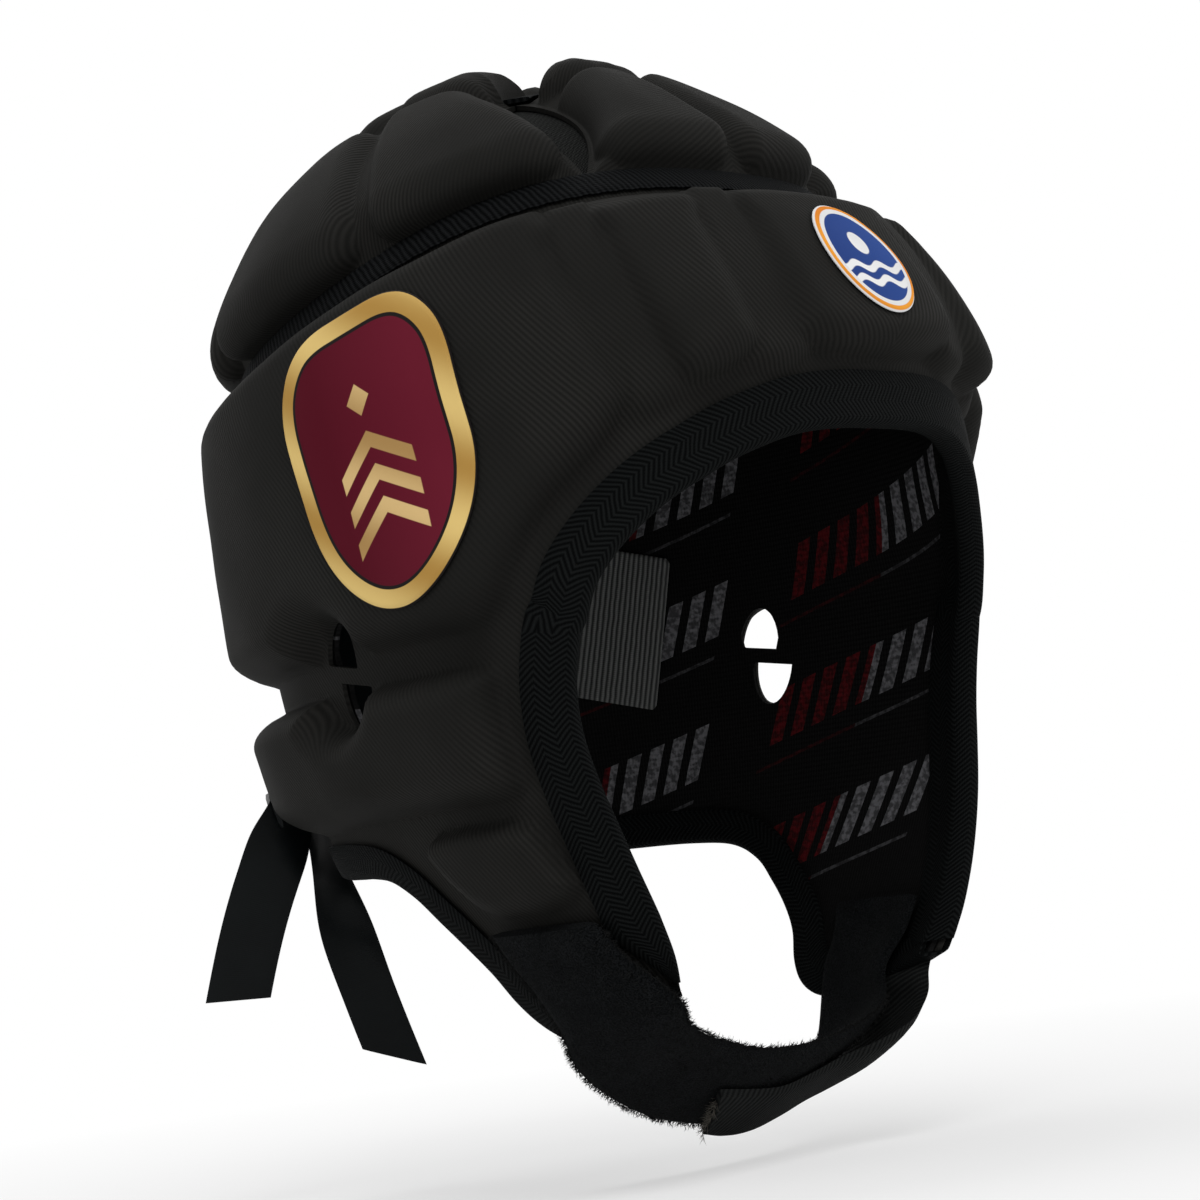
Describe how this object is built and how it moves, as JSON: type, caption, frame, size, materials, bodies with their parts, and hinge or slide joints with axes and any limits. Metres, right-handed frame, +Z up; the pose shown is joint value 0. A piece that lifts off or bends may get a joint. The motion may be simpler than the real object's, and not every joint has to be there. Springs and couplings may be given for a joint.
{
  "type": "soft padded sport headgear",
  "caption": "Soft-shell padded sport headgear: ribbed padded crown and band, bound face opening, ear openings, hook-and-loop chin strap and rear lacing.",
  "frame": {"origin": "midpoint between the two ear openings, inside the head cavity", "axes": "+X to the wearer's left, -Y the way the wearer faces, +Z up towards the crown"},
  "size_m": [0.1862, 0.2025, 0.2648],
  "materials": {
    "cover_fabric": "moulded ribbed knit, soft sheen",
    "liner_fabric": "printed jersey, matte",
    "mesh_fabric": "open mesh",
    "tape_fabric": "twill tape",
    "binding_fabric": "herringbone tape",
    "loop_fabric": "brushed loop pile",
    "strap_fabric": "webbing",
    "hook_plastic": "hook tape",
    "side_badge_rubber": "moulded patch",
    "front_badge_rubber": "moulded patch",
    "label_fabric": "woven label",
    "eyelet_metal": "satin",
    "ribbon_fabric": "satin ribbon",
    "foam": "soft foam"
  },
  "bodies": {
    "shell": {"crown_front_cover": "cover_fabric", "crown_rear_cover": "cover_fabric", "crown_liner": "liner_fabric", "crown_vent_mesh_right": "mesh_fabric", "crown_vent_mesh_left": "mesh_fabric", "crown_cross_tape": "tape_fabric", "crown_seam_tape": "tape_fabric", "band_cover": "cover_fabric", "band_liner": "liner_fabric", "forehead_foam": "foam", "brow_foam_right": "foam", "brow_foam_left": "foam", "temple_foam_right": "foam", "temple_foam_left": "foam", "side_foam_right": "foam", "side_foam_left": "foam", "cheek_foam_right": "foam", "cheek_foam_left": "foam", "crown_front_lower_foam_right": "foam", "crown_front_lower_foam_left": "foam", "crown_front_upper_foam": "foam", "crown_side_foam_right": "foam", "crown_side_foam_left": "foam", "crown_rear_side_foam_right": "foam", "crown_rear_side_foam_left": "foam", "crown_back_foam_right": "foam", "crown_back_foam_left": "foam", "crown_upper_side_foam_right": "foam", "crown_upper_side_foam_left": "foam", "crown_upper_back_foam_right": "foam", "crown_upper_back_foam_left": "foam", "face_binding": "binding_fabric", "jaw_binding_right": "binding_fabric", "jaw_binding_left": "binding_fabric", "chin_loop_strap": "loop_fabric", "side_badge": "side_badge_rubber", "front_badge": "front_badge_rubber", "inner_label": "label_fabric", "rear_gusset": "liner_fabric", "lace_eyelets": "eyelet_metal", "rear_lace": "ribbon_fabric", "lace_keeper": "ribbon_fabric"},
    "hook_strap": {"chin_hook_strap": "strap_fabric", "chin_hook_tape": "hook_plastic"},
    "long_tail": {"lace_tail_long": "ribbon_fabric"},
    "short_tail": {"lace_tail_short": "ribbon_fabric"}
  },
  "joints": [
    {"name": "hook_strap_peel", "type": "hinge", "parent": "shell", "child": "hook_strap", "pos_m": [0.04783, -0.059, -0.0854], "axis": [-0.0198, -0.9848, 0.1727], "range_deg": [0, 95]},
    {"name": "long_tail_swing", "type": "hinge", "parent": "shell", "child": "long_tail", "pos_m": [-0.04582, 0.06737, -0.0303], "axis": [0.866, 0.5, 0], "range_deg": [-8, 60]},
    {"name": "short_tail_swing", "type": "hinge", "parent": "shell", "child": "short_tail", "pos_m": [-0.03087, 0.07765, -0.0303], "axis": [0.9455, 0.3256, 0], "range_deg": [-8, 60]}
  ]
}
